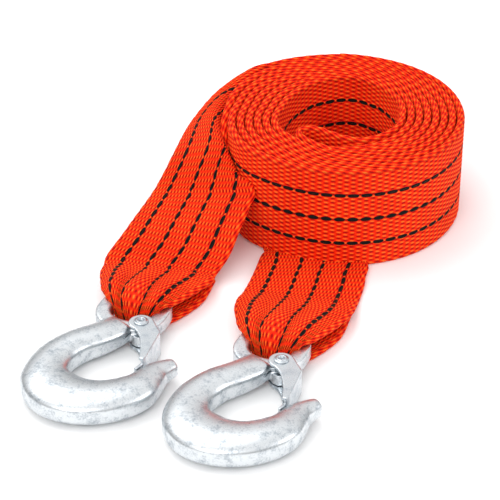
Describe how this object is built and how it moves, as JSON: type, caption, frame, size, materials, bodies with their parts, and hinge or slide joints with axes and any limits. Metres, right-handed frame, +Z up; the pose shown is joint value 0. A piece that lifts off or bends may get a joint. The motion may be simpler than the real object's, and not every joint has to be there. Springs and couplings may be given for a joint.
{
  "type": "tow strap",
  "caption": "Rolled webbing tow strap with both ends sewn round the eyes of forged slip hooks, each hook closed by a sprung latch.",
  "frame": {"origin": "centre of the footprint, on the floor that the strap lies on", "axes": "+Z up along the roll's axis, hooks towards -Y, roll towards +Y, +X to the right of the picture"},
  "size_m": [0.1936, 0.2602, 0.0513],
  "materials": {
    "orange_webbing": "coarse woven polyester with black tracer threads",
    "zinc_plated_forging": "satin zinc plate on a forging",
    "zinc_plated_sheet": "satin zinc plate on pressed sheet",
    "rivet_steel": "bright zinc plate",
    "spring_steel": "dark oiled spring wire"
  },
  "bodies": {
    "strap": {"webbing": "orange_webbing"},
    "hook_left": {"hook_left": "zinc_plated_forging", "latch_rivet_left": "rivet_steel", "latch_spring_left": "spring_steel"},
    "latch_left": {"latch_left": "zinc_plated_sheet"},
    "hook_right": {"hook_right": "zinc_plated_forging", "latch_rivet_right": "rivet_steel", "latch_spring_right": "spring_steel"},
    "latch_right": {"latch_right": "zinc_plated_sheet"}
  },
  "joints": [
    {"name": "hook_left_swing", "type": "hinge", "parent": "strap", "child": "hook_left", "pos_m": [-0.0478, -0.01763, 0.00665], "axis": [-0.9225, 0.3859, 0], "range_deg": [0, 80]},
    {"name": "latch_left_open", "type": "hinge", "parent": "hook_left", "child": "latch_left", "pos_m": [-0.04799, -0.0414, 0.00665], "axis": [0, 0, -1], "range_deg": [0, 42], "stiffness_Nm_per_rad": 0.02, "springref_deg": -34.38},
    {"name": "hook_right_swing", "type": "hinge", "parent": "strap", "child": "hook_right", "pos_m": [0.0117, -0.04553, 0.00665], "axis": [-0.9225, 0.3859, 0], "range_deg": [0, 80]},
    {"name": "latch_right_open", "type": "hinge", "parent": "hook_right", "child": "latch_right", "pos_m": [0.01151, -0.06929, 0.00665], "axis": [0, 0, -1], "range_deg": [0, 42], "stiffness_Nm_per_rad": 0.02, "springref_deg": -34.38}
  ]
}
